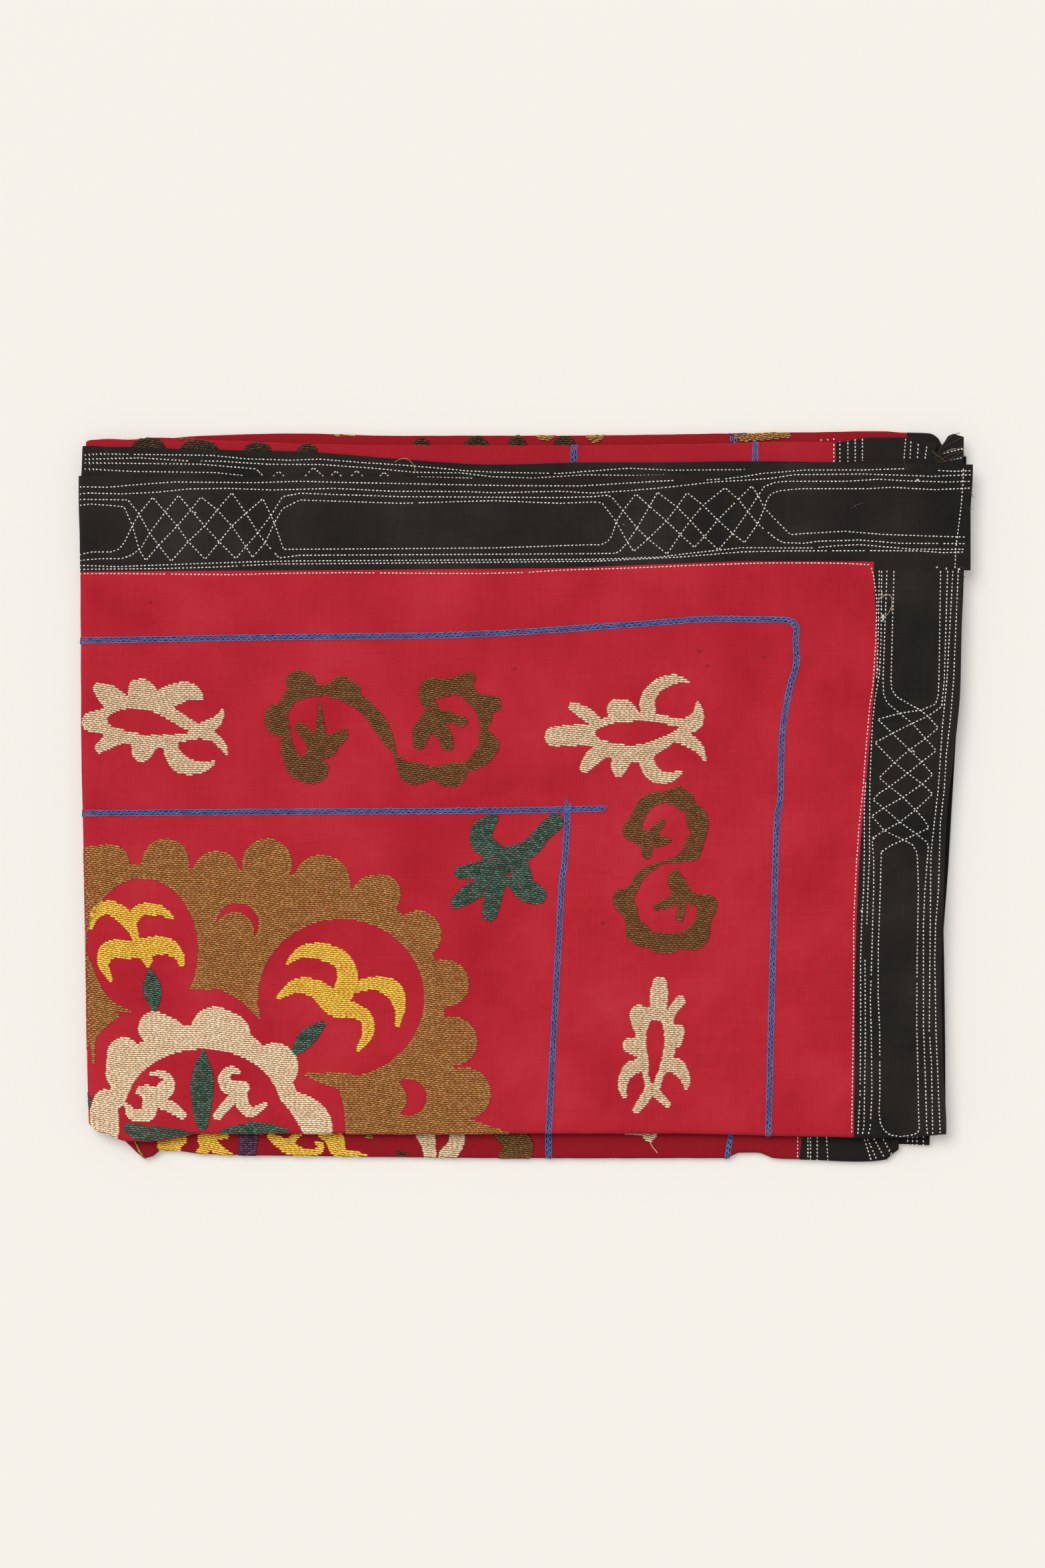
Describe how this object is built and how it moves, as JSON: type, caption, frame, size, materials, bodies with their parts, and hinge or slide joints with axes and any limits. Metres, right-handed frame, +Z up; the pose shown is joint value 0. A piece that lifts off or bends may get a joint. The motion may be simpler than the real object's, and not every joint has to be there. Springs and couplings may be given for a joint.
{
  "type": "folded suzani embroidered textile",
  "caption": "Red cotton suzani cloth with black border strips, folded to a flat rectangular pack that lies on a surface; its embroidered face is outermost.",
  "frame": {"origin": "middle of the underside of the folded pack, on the surface that it lies on", "axes": "+X to the right along the pack's longest side, +Y towards the edge where the cloth's ends lie, +Z up from the surface"},
  "size_m": [0.805, 0.659, 0.0204],
  "materials": {
    "red_cotton": "matt plain-woven cotton with chain-stitch embroidery",
    "black_cotton": "matt cotton with white machine quilting"
  },
  "bodies": {
    "root": {"field": "red_cotton", "border_top": "black_cotton", "border_bottom": "black_cotton", "border_right": "black_cotton", "border_left": "black_cotton"}
  },
  "joints": []
}
